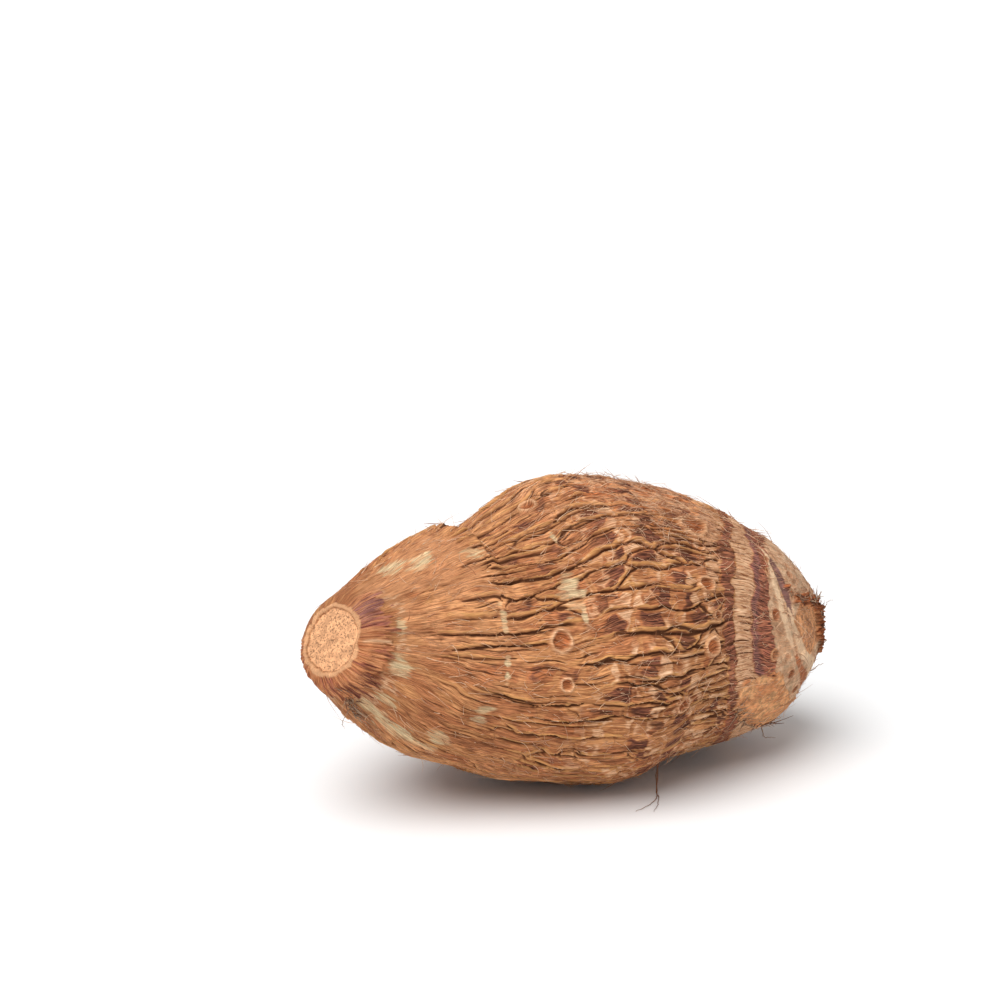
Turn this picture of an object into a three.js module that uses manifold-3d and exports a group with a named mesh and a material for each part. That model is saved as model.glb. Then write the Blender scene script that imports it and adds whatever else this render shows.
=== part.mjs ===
// A taro corm, the swollen underground stem of the taro plant, lying on its side.
//
// Millimetres, +Z up. +X points to the shoot end, where the leaves grew, and the
// round scar where the corm broke off its parent is at the -X end. The origin is
// on the surface that the corm rests on, under the middle of its box.
//
// The corm grew as one piece, so it is one solid: an outline turned round an
// axis, which is then bent along the corm's own curved spine. A notch crosses its
// top and back where the neck by the scar ends, low rings stand where the old
// leaves were joined, and the belly has the flat that it rests on.

import * as THREE from 'three';
import { mergeVertices } from 'three/addons/utils/BufferGeometryUtils.js';
import Module from 'manifold-3d';

// Driving dimensions.
const SPINE_LENGTH = 182;
const GREATEST_RADIUS = 52.5;
const SCAR_RADIUS = 9.5;
const SCAR_DISH = 0.4;
const LIP_RADIUS = 11;
const COLLAR_RADIUS = 14.6;
const SCAR_TILT_ASIDE = 0.1;
const SCAR_TILT_UP = 0.16;
const SCAR_TILT_REACH = 0.12;
const SHOOT_STUB_RADIUS = 6.5;
const SHOOT_STUB_LENGTH = 3;
const BELLY_FLAT_DEPTH = 2.2;

// The notch: how deep it is, where along the spine it starts to drop, how soon
// it is deepest and how soon it has risen again, all as shares of the spine's
// length, and its middle and half width as angles round the spine.
const NOTCH_DEPTH = 7.7;
const NOTCH_PLACE = 0.25;
const NOTCH_DROP = 0.022;
const NOTCH_RISE = 0.15;
const NOTCH_TURN = 1.08;
const NOTCH_HALF_TURN = 0.95;

// Low rings of leaf scars near the shoot end, by where they cross the front.
const LEAF_RING_PLACES = [0.636, 0.69, 0.77, 0.84];
const LEAF_RING_HEIGHT = 0.7;
const LEAF_RING_HALF_WIDTH = 0.012;

// Each ring lies further along at the sides than at the front: how much further
// at most, over which shares the lean grows and ends, and how fast it grows
// with the angle from the front.
const RING_LEAN = 0.1;
const RING_LEAN_START = 0.3;
const RING_LEAN_FULL = 0.74;
const RING_LEAN_END = 0.88;
const RING_FRONT_TURN = 2.88;
const RING_LEAN_TURN = 0.96;

// How finely the outline is stepped along the spine and round it.
const STEPS_ALONG = 76;
const STEPS_ROUND = 60;

// The corm's outline from the scar's collar to the shoot's stub: the share of
// the spine's length, then the radius as a share of the greatest one.
const OUTLINE = [
  [0.012, COLLAR_RADIUS / GREATEST_RADIUS],
  [0.065, 0.395],
  [0.15, 0.59],
  [0.27, 0.775],
  [0.4, 0.915],
  [0.53, 0.99],
  [0.66, 0.89],
  [0.8, 0.732],
  [0.89, 0.603],
  [0.945, 0.42],
  [0.972, 0.28],
  [0.985, SHOOT_STUB_RADIUS / GREATEST_RADIUS],
];

// The spine, from the scar to the shoot: the scar end lifts and leans to -Y,
// so its face looks up and aside, and the shoot end droops a little.
const SPINE = [
  new THREE.Vector3(-0.5 * SPINE_LENGTH, -19, 11.5),
  new THREE.Vector3(-0.34 * SPINE_LENGTH, -9, 2.3),
  new THREE.Vector3(-0.12 * SPINE_LENGTH, -2, -2.3),
  new THREE.Vector3(0.12 * SPINE_LENGTH, 0, -3.4),
  new THREE.Vector3(0.32 * SPINE_LENGTH, -1, -8.6),
  new THREE.Vector3(0.5 * SPINE_LENGTH, -5, -9.5),
];

// The corm isn't quite round: its radius swells and shrinks round the spine.
const OVAL = 0.018;
const OVAL_TURN = 0.15;
const THREE_LOBES = 0.012;
const LOBES_TURN = 1.9;

// The angle from one direction round the spine to another, from -PI to PI.
function turnBetween(from, to) {
  return THREE.MathUtils.euclideanModulo(to - from + Math.PI, 2 * Math.PI) - Math.PI;
}

// Height of the leaf rings at a share of the spine's length and an angle.
function ringHeight(share, angle) {
  const grown = THREE.MathUtils.clamp((share - RING_LEAN_START) / (RING_LEAN_FULL - RING_LEAN_START), 0, 1);
  const left = THREE.MathUtils.clamp((1 - share) / (1 - RING_LEAN_END), 0, 1);
  const turn = turnBetween(RING_FRONT_TURN, angle) / RING_LEAN_TURN;
  const atFront = share - RING_LEAN * grown * left * (1 - Math.exp(-turn * turn));
  let height = 0;
  for (const place of LEAF_RING_PLACES) {
    const offset = (atFront - place) / LEAF_RING_HALF_WIDTH;
    height += LEAF_RING_HEIGHT * Math.exp(-offset * offset);
  }
  return height;
}

// Depth of the notch at a share of the spine's length and an angle.
function notchDepth(share, angle) {
  const deepest = NOTCH_PLACE + NOTCH_DROP;
  const dropped = THREE.MathUtils.smoothstep(share, NOTCH_PLACE, deepest);
  const left = THREE.MathUtils.clamp(1 - (share - deepest) / NOTCH_RISE, 0, 1);
  const turn = turnBetween(NOTCH_TURN, angle) / NOTCH_HALF_TURN;
  return NOTCH_DEPTH * dropped * left * Math.exp(-turn * turn);
}

// The half outline as (radius, distance along the axis), from axis to axis.
function outlinePoints() {
  const curve = new THREE.SplineCurve(OUTLINE.map(([share, radius]) => new THREE.Vector2(radius, share)));
  const points = [
    new THREE.Vector2(0, SCAR_DISH),
    new THREE.Vector2(SCAR_RADIUS, SCAR_DISH),
    new THREE.Vector2(LIP_RADIUS, 0),
  ];
  for (let step = 0; step <= STEPS_ALONG; step += 1) {
    const point = curve.getPoint(step / STEPS_ALONG);
    points.push(new THREE.Vector2(point.x * GREATEST_RADIUS, point.y * SPINE_LENGTH));
  }
  const stubTop = OUTLINE[OUTLINE.length - 1][0] * SPINE_LENGTH + SHOOT_STUB_LENGTH;
  points.push(new THREE.Vector2(0.8 * SHOOT_STUB_RADIUS, stubTop));
  points.push(new THREE.Vector2(0, stubTop));
  return points;
}

// How much further out the skin stands than a round one, as a share of the
// radius, at an angle round the spine and a share of its length.
function unevenness(angle, share) {
  const fullness = Math.sin(Math.PI * THREE.MathUtils.clamp(share, 0, 1));
  const oval = OVAL * Math.cos(2 * (angle - OVAL_TURN));
  const lobes = THREE_LOBES * Math.cos(3 * (angle - LOBES_TURN) + 4 * share);
  return fullness * (oval + lobes);
}

// Bends a solid turned round the Y axis so that its axis follows the spine,
// and tilts the scar's end of it.
function bendAlongSpine(geometry) {
  const spine = new THREE.CatmullRomCurve3(SPINE, false, 'catmullrom', 0.5);
  const positions = geometry.getAttribute('position');
  const up = new THREE.Vector3(0, 0, 1);
  for (let i = 0; i < positions.count; i += 1) {
    const share = positions.getY(i) / SPINE_LENGTH;
    const angle = Math.atan2(positions.getZ(i), -positions.getX(i));
    const evenRadius = Math.hypot(positions.getX(i), positions.getZ(i));
    const swollen = evenRadius * (1 + unevenness(angle, share));
    const radius = swollen + ringHeight(share, angle) - notchDepth(share, angle);
    const aside = radius * Math.cos(angle);
    const above = radius * Math.sin(angle);

    const onSpine = THREE.MathUtils.clamp(share, 0, 1);
    const forward = spine.getTangentAt(onSpine);
    const left = new THREE.Vector3().crossVectors(up, forward).normalize();
    const top = new THREE.Vector3().crossVectors(forward, left);

    const tilt = Math.max(0, 1 - share / SCAR_TILT_REACH) ** 2;
    const beyond = (share - onSpine) * SPINE_LENGTH;
    const sheared = beyond + tilt * (SCAR_TILT_UP * above - SCAR_TILT_ASIDE * aside);

    const place = spine.getPointAt(onSpine);
    place.addScaledVector(forward, sheared);
    place.addScaledVector(left, aside);
    place.addScaledVector(top, above);
    positions.setXYZ(i, place.x, place.y, place.z);
  }
}

// A closed mesh whose faces share their vertices, as manifold-3d needs it.
function solidFrom(wasm, geometry) {
  geometry.deleteAttribute('normal');
  geometry.deleteAttribute('uv');
  const merged = mergeVertices(geometry);
  const mesh = new wasm.Mesh({
    numProp: 3,
    vertProperties: new Float32Array(merged.getAttribute('position').array),
    triVerts: new Uint32Array(merged.index.array),
  });
  return new wasm.Manifold(mesh);
}

function geometryFrom(solid) {
  const mesh = solid.getMesh();
  const geometry = new THREE.BufferGeometry();
  geometry.setAttribute('position', new THREE.BufferAttribute(mesh.vertProperties, 3));
  geometry.setIndex(new THREE.BufferAttribute(mesh.triVerts, 1));
  geometry.computeVertexNormals();
  return geometry;
}

// Moves the corm so that the ground plane takes the belly flat off it.
function settle(geometry) {
  geometry.computeBoundingBox();
  const box = geometry.boundingBox;
  const middleX = (box.min.x + box.max.x) / 2;
  const middleY = (box.min.y + box.max.y) / 2;
  geometry.translate(-middleX, -middleY, -box.min.z - BELLY_FLAT_DEPTH);
}

function buildCorm(wasm) {
  const body = new THREE.LatheGeometry(outlinePoints(), STEPS_ROUND);
  bendAlongSpine(body);
  settle(body);
  const ground = new THREE.BoxGeometry(2 * SPINE_LENGTH, 2 * SPINE_LENGTH, GREATEST_RADIUS);
  ground.translate(0, 0, -GREATEST_RADIUS / 2);
  const cut = solidFrom(wasm, body).subtract(solidFrom(wasm, ground));
  return geometryFrom(cut);
}

const wasm = await Module();
wasm.setup();

const skin = new THREE.MeshStandardMaterial({ color: 0xa8693f, roughness: 0.85, metalness: 0 });
const corm = new THREE.Mesh(buildCorm(wasm), skin);
corm.name = 'taro_corm';

const group = new THREE.Group();
group.add(corm);

export default group;
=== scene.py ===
"""A taro corm lying on a pale studio floor.

An add-on that also runs as a script. Its panel has one operator for each piece
of the corm and one for the stage, and the sizes and colours that a user would
change are properties on the scene. Metres throughout, +Z up, +X to the shoot
end, as in the CAD model that the pieces dress.
"""

import math
from types import SimpleNamespace

import bpy
import numpy as np
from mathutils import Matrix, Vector


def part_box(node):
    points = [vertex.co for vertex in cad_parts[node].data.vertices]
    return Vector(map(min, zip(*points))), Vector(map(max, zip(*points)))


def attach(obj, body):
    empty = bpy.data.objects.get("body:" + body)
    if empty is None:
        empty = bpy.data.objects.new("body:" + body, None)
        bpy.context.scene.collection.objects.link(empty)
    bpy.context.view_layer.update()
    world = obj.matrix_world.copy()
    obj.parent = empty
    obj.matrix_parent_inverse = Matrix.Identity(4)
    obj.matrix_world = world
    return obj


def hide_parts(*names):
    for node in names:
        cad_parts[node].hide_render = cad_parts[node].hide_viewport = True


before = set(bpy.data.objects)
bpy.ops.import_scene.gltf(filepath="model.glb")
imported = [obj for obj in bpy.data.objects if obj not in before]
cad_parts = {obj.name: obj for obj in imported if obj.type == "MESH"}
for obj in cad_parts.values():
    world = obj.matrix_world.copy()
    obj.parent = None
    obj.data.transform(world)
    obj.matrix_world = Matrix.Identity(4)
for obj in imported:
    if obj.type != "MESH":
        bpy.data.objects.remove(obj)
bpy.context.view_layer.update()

bl_info = {
    "name": "Taro Corm",
    "version": (1, 0, 0),
    "blender": (4, 5, 0),
    "location": "View3D > Sidebar > Taro Corm",
    "description": "Builds a taro corm with its wrinkled skin, fibres and root threads",
    "category": "Object",
}

MM = 0.001

# ---------------------------------------------------------------------------
# The corm's body: the same outline and spine as the CAD model, in millimetres.

SPINE_LENGTH = 182.0
GREATEST_RADIUS = 52.5
SCAR_RADIUS = 9.5
SCAR_DISH = 0.4
LIP_RADIUS = 11.0
COLLAR_RADIUS = 14.6
SCAR_TILT_ASIDE = 0.1
SCAR_TILT_UP = 0.16
SCAR_TILT_REACH = 0.12
STUB_RADIUS = 6.5
STUB_LENGTH = 3.0

# Share of the spine's length, then the radius as a share of the greatest one.
OUTLINE = (
    (0.012, COLLAR_RADIUS / GREATEST_RADIUS),
    (0.065, 0.395),
    (0.15, 0.59),
    (0.27, 0.775),
    (0.4, 0.915),
    (0.53, 0.99),
    (0.66, 0.89),
    (0.8, 0.732),
    (0.89, 0.603),
    (0.945, 0.42),
    (0.972, 0.28),
    (0.985, STUB_RADIUS / GREATEST_RADIUS),
)

# The spine from the scar to the shoot; x is a share of its length.
SPINE = (
    (-0.5, -19.0, 11.5),
    (-0.34, -9.0, 2.3),
    (-0.12, -2.0, -2.3),
    (0.12, 0.0, -3.4),
    (0.32, -1.0, -8.6),
    (0.5, -5.0, -9.5),
)

# The surface stops this far short of the spine at both ends, where one face
# closes it.
POLE_RADIUS = 0.15

# How much the cross-section is oval and three-lobed, and which way they turn.
OVAL = 0.018
OVAL_TURN = 0.15
THREE_LOBES = 0.012
LOBES_TURN = 1.9

# The notch across the top and back where the neck by the scar ends.
NOTCH_DEPTH = 7.7
NOTCH_PLACE = 0.25
NOTCH_DROP = 0.022
NOTCH_RISE = 0.15
NOTCH_TURN = 1.08
NOTCH_HALF_TURN = 0.95

# ---------------------------------------------------------------------------
# Where things are on the skin. A place is a share of the spine's length and an
# angle round it in degrees: 90 is the top, 180 faces -Y and 270 is the belly.

# Leaf rings lie further along at the sides than at the front: how far, at
# shares along the spine, and how fast the lean grows round the corm.
RING_LEAN = ((0.3, 0.0), (0.45, 0.15), (0.62, 0.11), (0.74, 0.22), (0.88, 0.22), (1.0, 0.0))
RING_LEAN_WIDTH = math.radians(55)

# Leaf scars where one band of skin ends and the next begins, where scaly skin
# starts and ends and rough skin ends, and the two dark rings with the pale,
# striped band between them: all by where they cross the front.
BAND_LINES = (0.0, 0.12, 0.24, 0.31, 0.37, 0.47, 0.553, 0.635, 0.671, 0.76, 0.85, 1.0)
SCALY_FROM = 0.37
SCALY_END = (0.668, 0.673)
ROUGH_END = (0.7, 0.712)
DARK_RING = (0.675, 0.7)
STRIPED_BAND = (0.703, 0.744)
WIDE_DARK_RING = (0.746, 0.805)

# Distances in mm from the scar's middle over the skin: where its face ends,
# where the lip lies and where the collar starts and ends.
FACE_END = (9.4, 9.8)
LIP_FROM = 9.9
LIP_END = 11.4
COLLAR_FROM = (11.1, 11.6)
COLLAR_END = 20.5

# Bud and root scars: share, angle, radius in mm, how dark the middle is.
BUDS = (
    (0.66, 119, 4.4, 1.0),
    (0.646, 148, 2.9, 1.0),
    (0.648, 172, 3.2, 0.9),
    (0.592, 193, 2.9, 1.0),
    (0.337, 164, 3.6, 1.0),
    (0.343, 181, 2.4, 0.7),
    (0.546, 92, 2.6, 0.8),
    (0.389, 95, 3.0, 1.0),
    (0.66, 160, 1.5, 0.8),
    (0.816, 134, 1.3, 0.8),
    (0.826, 126, 1.2, 0.9),
    (0.82, 157, 2.4, 1.0),
    (0.82, 177, 1.9, 0.5),
    (0.857, 180, 1.8, 0.4),
    (0.875, 191, 2.0, 1.0),
    (0.897, 206, 1.6, 1.0),
    (0.89, 131, 1.9, 0.7),
    (0.62, 60, 3.2, 0.7),
    (0.43, 40, 3.0, 0.8),
    (0.7, 20, 3.4, 0.6),
    (0.56, 350, 2.8, 0.8),
    (0.3, 325, 3.2, 0.9),
    (0.74, 320, 3.0, 0.7),
    (0.5, 300, 2.6, 0.7),
    (0.88, 40, 1.8, 0.8),
    (0.86, 345, 2.0, 0.8),
    (0.9, 300, 1.7, 0.7),
)

# Patches worn to the pale layer: share, angle, half length and half width in mm.
WORN_PATCHES = (
    (0.375, 144, 4.0, 6.4),
    (0.388, 154, 1.2, 3.0),
    (0.235, 154, 1.1, 5.5),
    (0.235, 176, 1.0, 4.0),
    (0.227, 113, 3.4, 2.2),
    (0.06, 186, 3.2, 3.4),
    (0.055, 150, 1.4, 3.0),
    (0.1, 239, 13.0, 3.0),
    (0.07, 222, 3.0, 1.6),
    (0.209, 197, 3.0, 1.6),
    (0.167, 224, 3.4, 2.4),
    (0.165, 238, 4.4, 2.0),
    (0.21, 204, 2.4, 1.6),
    (0.14, 100, 5.0, 3.0),
    (0.1, 88, 4.0, 4.0),
    (0.385, 121, 1.0, 3.4),
    (0.41, 20, 3.0, 4.4),
    (0.25, 330, 5.0, 3.0),
)

# The leaf bases wrapped round the shoot leave pale strips, a purple edge, a
# brown line and a torn rim: share and angle along each, then its half width
# in mm at each of those places.
PALE_STRIPS = (
    (
        ((0.828, 116), (0.835, 130), (0.837, 143), (0.847, 155), (0.863, 168), (0.885, 180)),
        (0.6, 1.2, 1.4, 1.4, 1.0, 0.3),
    ),
    (
        ((0.868, 153), (0.884, 164), (0.905, 177), (0.945, 200), (0.955, 225)),
        (0.4, 1.1, 1.9, 1.8, 1.2),
    ),
    (
        ((0.84, 60), (0.86, 20), (0.85, -25), (0.88, -70)),
        (0.8, 1.4, 1.2, 0.6),
    ),
)
PURPLE_EDGES = (
    (
        ((0.85, 124), (0.862, 136), (0.869, 146), (0.872, 156), (0.886, 170)),
        (1.3, 2.1, 1.9, 1.0, 0.3),
    ),
    (
        ((0.86, 60), (0.882, 20), (0.87, -25), (0.9, -70)),
        (0.5, 1.6, 1.2, 0.4),
    ),
)
BROWN_LINES = (
    (
        ((0.862, 167), (0.885, 180), (0.912, 195), (0.945, 222)),
        (0.3, 0.6, 1.4, 2.4),
    ),
)
TORN_RIM = (
    (
        (0.868, 140),
        (0.885, 145),
        (0.905, 147),
        (0.93, 145),
        (0.955, 140),
        (0.972, 146),
        (0.972, 170),
        (0.975, 204),
    ),
    (0.4, 0.8, 1.1, 1.6, 1.8, 1.8, 1.4, 0.6),
)

# The bare, tan patch inside the torn rim: share, angle, half length and half
# width in mm.
LENS = (0.928, 166, 8.5, 10.0)

# Leaf marks, the bare patch and the darker kind of bud are past this share.
SHOOT_END_FROM = 0.8

# Places along the ragged edges that shreds hang from, apart from the torn rim:
# the lower edge of the sheath and the low side of the collar.
SHEATH_EDGE = ((0.75, 203), (0.79, 214), (0.831, 227), (0.877, 240))
COLLAR_LOW_EDGE = ((0.02, 238), (0.05, 252), (0.08, 262))

# Root threads: share and angle where each leaves the skin, then the way it
# goes from there, in mm. The longest lies on the floor where it ends.
ROOT_THREADS = (
    (0.614, 233, ((-2, -4, -8), (-3, -7, -12), (-6, -12, -14), (-10, -17, -14))),
    (0.612, 234, ((-2, -4, -8), (-4, -8, -12.5), (-9, -12, -14), (-15, -15, -13))),
    (0.861, 240, ((0, -1, -2.5), (1, -1, -4), (4.5, -2, -4.5))),
    (0.95, 214, ((1.5, -0.5, 0.8), (3, -0.8, 2), (5, -1, 2.4))),
    (0.97, 150, ((1, -0.5, 1.5), (2, -0.5, 3.5), (4, -1, 4))),
    (0.06, 258, ((-2, -1, -1.5), (-3.5, -1, -4), (-3, -1.5, -6))),
    (0.07, 262, ((1, -1, -2), (3, -2, -3.2), (4, -2.5, -5))),
)

# How far apart in mm the rows of the skin's mesh are, and how many columns go
# round it.
ROW_STEP = 0.34
COLUMNS = 1080


def smooth_step(low, high, value):
    """0 below low, 1 above high and a smooth rise between."""
    t = np.clip((value - low) / (high - low), 0, 1)
    return t * t * (3 - 2 * t)


def hill(value, middle, half_width):
    """1 at the middle, falling smoothly to 0 past the half width."""
    return np.exp(-(((value - middle) / half_width) ** 2))


def between(value, low, high, softness):
    """1 from low to high and 0 outside, with soft ends."""
    return smooth_step(low - softness, low + softness, value) * (
        1 - smooth_step(high - softness, high + softness, value)
    )


def turn_from(angle, degrees):
    """The angle from a place round the corm, from -pi to pi."""
    return (angle - math.radians(degrees) + math.pi) % (2 * math.pi) - math.pi


def through_points(points, mirrored_ends, steps=4000):
    """A Catmull-Rom curve through the points, sampled evenly in its parameter."""
    points = np.asarray(points, float)
    last = len(points) - 1
    place = np.linspace(0, last, steps)
    i = np.minimum(place.astype(int), last - 1)
    w = (place - i)[:, None]
    before = 2 * points[0] - points[1] if mirrored_ends else points[0]
    after = 2 * points[-1] - points[-2] if mirrored_ends else points[-1]
    padded = np.vstack([before, points, after])
    p0, p1, p2, p3 = padded[i], padded[i + 1], padded[i + 2], padded[i + 3]
    v0, v1 = (p2 - p0) / 2, (p3 - p1) / 2
    return (2 * p1 - 2 * p2 + v0 + v1) * w**3 + (3 * p2 - 3 * p1 - 2 * v0 - v1) * w**2 + v0 * w + p1


def run_of(line):
    """Distance along a line of points, starting at 0."""
    return np.r_[0, np.cumsum(np.linalg.norm(np.diff(line, axis=0), axis=1))]


def spine_frame(share):
    """Places, forward, left and top directions of the spine at shares of it."""
    line = through_points([(x * SPINE_LENGTH, y, z) for x, y, z in SPINE], True)
    run = run_of(line)
    run /= run[-1]
    forward = np.gradient(line, axis=0)
    place = np.stack([np.interp(share, run, line[:, k]) for k in range(3)], -1)
    forward = np.stack([np.interp(share, run, forward[:, k]) for k in range(3)], -1)
    forward /= np.linalg.norm(forward, axis=-1, keepdims=True)
    left = np.cross([0.0, 0.0, 1.0], forward)
    left /= np.linalg.norm(left, axis=-1, keepdims=True)
    return place, forward, left, np.cross(forward, left)


def outline_profile(step):
    """The half outline from the scar's middle to the shoot's, at even steps:
    radius, distance along the spine and distance from the scar's middle."""
    body = through_points([(radius, share) for share, radius in OUTLINE], False)
    stub = OUTLINE[-1][0] * SPINE_LENGTH + STUB_LENGTH
    line = np.vstack(
        [
            [(POLE_RADIUS, SCAR_DISH), (SCAR_RADIUS, SCAR_DISH), (LIP_RADIUS, 0.0)],
            body * [GREATEST_RADIUS, SPINE_LENGTH],
            [(0.8 * STUB_RADIUS, stub), (POLE_RADIUS, stub)],
        ]
    )
    run = run_of(line)
    reach = np.linspace(0, run[-1], int(run[-1] / step))
    return np.interp(reach, run, line[:, 0]), np.interp(reach, run, line[:, 1]), reach


def notch_depth(share, angle):
    """Depth of the notch in mm."""
    deepest = NOTCH_PLACE + NOTCH_DROP
    risen = np.clip((share - deepest) / NOTCH_RISE, 0, 1)
    turn = turn_from(angle, math.degrees(NOTCH_TURN))
    depth = NOTCH_DEPTH * smooth_step(NOTCH_PLACE, deepest, share) * (1 - risen)
    return depth * hill(turn, 0, NOTCH_HALF_TURN)


def corm_grid(row_step, columns):
    """The body's smooth surface as rows along the corm and columns round it."""
    radius, along, reach = outline_profile(row_step)
    radius, along, reach = radius[:, None], along[:, None], reach[:, None]
    share = along / SPINE_LENGTH
    angle = np.linspace(0, 2 * math.pi, columns, endpoint=False)[None, :]

    on_spine = np.clip(share, 0, 1)
    oval = OVAL * np.cos(2 * (angle - OVAL_TURN))
    lobes = THREE_LOBES * np.cos(3 * (angle - LOBES_TURN) + 4 * share)
    spread = radius * (1 + np.sin(math.pi * on_spine) * (oval + lobes))
    spread = spread - notch_depth(share, angle)
    aside, above = spread * np.cos(angle), spread * np.sin(angle)
    tilt = np.maximum(0, 1 - share / SCAR_TILT_REACH) ** 2
    beyond = (share - on_spine) * SPINE_LENGTH + tilt * (SCAR_TILT_UP * above - SCAR_TILT_ASIDE * aside)

    place, forward, left, top = spine_frame(on_spine)
    points = place + forward * beyond[..., None] + left * aside[..., None] + top * above[..., None]

    # The CAD model's box fixes where the body stands; its top is at z.
    low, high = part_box("taro_corm")
    span_low, span_high = points.min((0, 1)), points.max((0, 1))
    middle = np.array([low.x + high.x, low.y + high.y]) / 2 / MM
    points[..., :2] += middle - (span_low + span_high)[:2] / 2
    points[..., 2] += high.z / MM - span_high[2]

    grid = SimpleNamespace(radius=radius, reach=reach, share=share, angle=angle, points=points)
    grid.shape = points.shape[:2]
    grid.normals = surface_normals(points)
    grid.row_step = reach[1, 0] - reach[0, 0]
    return grid


def surface_normals(points):
    """Outward directions at the points of a grid that closes round itself."""
    along = np.gradient(points, axis=0)
    around = (np.roll(points, -1, axis=1) - np.roll(points, 1, axis=1)) / 2
    normals = np.cross(around, along)
    return normals / np.maximum(np.linalg.norm(normals, axis=-1, keepdims=True), 1e-9)


# ---------------------------------------------------------------------------
# Seeded random fields over the skin.

MEAN_CIRCUMFERENCE = 260.0
NOISE_ROWS = 620
NOISE_COLUMNS = 800


def spectrum(grid):
    """Frequencies along in cycles per mm and round in cycles per turn."""
    rows, columns = grid.shape
    return np.fft.fftfreq(rows, grid.row_step)[:, None], np.fft.fftfreq(columns, 1 / columns)[None, :]


def soft_noise(seed, grid, along_mm, round_mm):
    """Noise with lumps of about the given sizes; its spread is 1."""
    f_along, f_round = spectrum(grid)
    blur = np.hypot(f_along * along_mm, f_round / MEAN_CIRCUMFERENCE * round_mm)
    white = seeded_white(seed, grid)
    field = np.fft.ifft2(np.fft.fft2(white) * np.exp(-2 * blur**2)).real
    return (field - field.mean()) / field.std()


def seeded_white(seed, grid):
    """White noise that looks alike at any fineness of the mesh."""
    coarse = np.random.default_rng(seed).standard_normal((NOISE_ROWS, NOISE_COLUMNS))
    rows = np.linspace(0, NOISE_ROWS - 1, grid.shape[0]).astype(int)
    columns = (np.arange(grid.shape[1]) * NOISE_COLUMNS // grid.shape[1]).astype(int)
    return coarse[rows][:, columns]


def ripples(seed, grid, per_turn, spread, length_mm):
    """A complex field whose phase turns once per wrinkle round the corm; its
    size is small where wrinkles join or end."""
    f_along, f_round = spectrum(grid)
    pass_round = np.exp(-(((f_round - per_turn) / spread) ** 2) / 2)
    pass_along = np.exp(-2 * (f_along * length_mm) ** 2)
    white = seeded_white(seed, grid) + 1j * seeded_white(seed + 1, grid)
    field = np.fft.ifft2(np.fft.fft2(white) * pass_round * pass_along)
    return field / np.sqrt((np.abs(field) ** 2).mean())


def shifted(field, grid, down_mm, aside_mm):
    """The field as seen from places a little further on: a wavy copy of it."""
    rows, columns = grid.shape
    row = np.clip(np.arange(rows)[:, None] + down_mm / grid.row_step, 0, rows - 1.001)
    column_mm = MEAN_CIRCUMFERENCE / columns
    column = (np.arange(columns)[None, :] + aside_mm / column_mm) % columns
    row, column = np.broadcast_arrays(row, column)
    r0, c0 = row.astype(int), column.astype(int) % columns
    fr, fc = row - r0, column - np.floor(column)
    c1 = (c0 + 1) % columns
    upper = field[r0, c0] * (1 - fc) + field[r0, c1] * fc
    lower = field[r0 + 1, c0] * (1 - fc) + field[r0 + 1, c1] * fc
    return upper * (1 - fr) + lower * fr


# ---------------------------------------------------------------------------
# The skin's relief and the masks that colour it.


def ring_place(grid):
    """The share at which the leaf ring through each place crosses the front."""
    shares, leans = zip(*RING_LEAN)
    lean = np.interp(grid.share, shares, leans)
    # The front lies higher on the corm past its widest part.
    front = np.radians(190 - 35 * smooth_step(0.6, 0.7, grid.share))
    turn = (grid.angle - front + math.pi) % (2 * math.pi) - math.pi
    return grid.share - lean * 0.5 * (1 - hill(turn, 0, RING_LEAN_WIDTH))


def distance_from(grid, share, degrees):
    """Lengthwise and crosswise distance in mm from a place on the skin."""
    lengthwise = (grid.share - share) * SPINE_LENGTH
    crosswise = turn_from(grid.angle, degrees) * grid.radius
    return lengthwise, crosswise


def on_line(grid, places, half_widths, ragged):
    """1 on a line through places on the skin and 0 past its half width."""
    best, width = np.full(grid.shape, 1e3), np.ones(grid.shape)
    for k, (start, end) in enumerate(zip(places[:-1], places[1:])):
        x, y = distance_from(grid, *start)
        step_x = (end[0] - start[0]) * SPINE_LENGTH
        step_y = math.radians(end[1] - start[1]) * grid.radius
        t = np.clip((x * step_x + y * step_y) / (step_x**2 + step_y**2), 0, 1)
        away = np.hypot(x - t * step_x, y - t * step_y)
        here = half_widths[k] + t * (half_widths[k + 1] - half_widths[k])
        width = np.where(away < best, here, width)
        best = np.minimum(best, away)
    return 1 - smooth_step(-0.35, 0.35, best - width + ragged)


def add_fields(grid, sheet):
    """Fields that the zones and marks share, and the leaf ring at each place."""
    sheet.wander = 1.1 * soft_noise(11, grid, 30, 18) + 0.32 * soft_noise(12, grid, 8, 5)
    sheet.stray = soft_noise(13, grid, 6, 12)
    sheet.ragged = soft_noise(14, grid, 2.5, 1.4)
    sheet.lane = soft_noise(51, grid, 6, 4.5)
    sheet.ring = ring_place(grid) + 0.003 * sheet.stray + 0.0035 * soft_noise(15, grid, 5, 2.5)


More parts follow.
